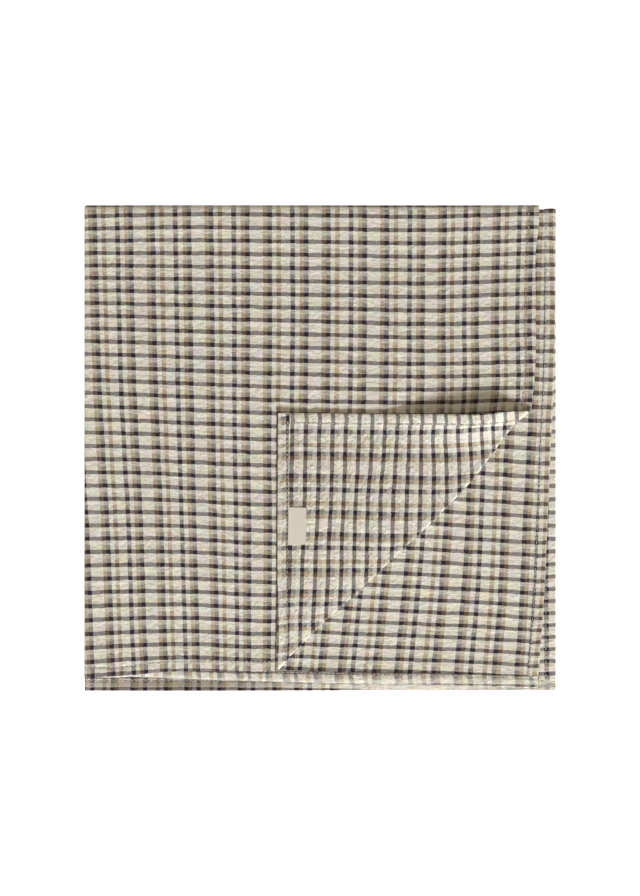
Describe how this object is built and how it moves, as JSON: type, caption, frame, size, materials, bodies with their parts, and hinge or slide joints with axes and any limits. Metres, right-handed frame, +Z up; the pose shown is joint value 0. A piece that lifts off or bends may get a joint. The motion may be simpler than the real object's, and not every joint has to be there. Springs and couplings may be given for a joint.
{
  "type": "folded square scarf",
  "caption": "Square cotton scarf in a small tan, charcoal and cream check, hemmed all round, folded in four with the top layer's free corner turned back; it lies flat on a table.",
  "frame": {"origin": "on the table, under the middle of the folded scarf's outline", "axes": "+Z up; +X towards the free right edges, away from the first fold; +Y towards the second fold, away from the front hems"},
  "size_m": [0.354, 0.364, 0.0126],
  "materials": {
    "cloth": "soft plain-woven cotton, dry and matte, in a small check",
    "label": "smooth woven tape, plain"
  },
  "bodies": {
    "root": {"cloth": "cloth", "label": "label"}
  },
  "joints": []
}
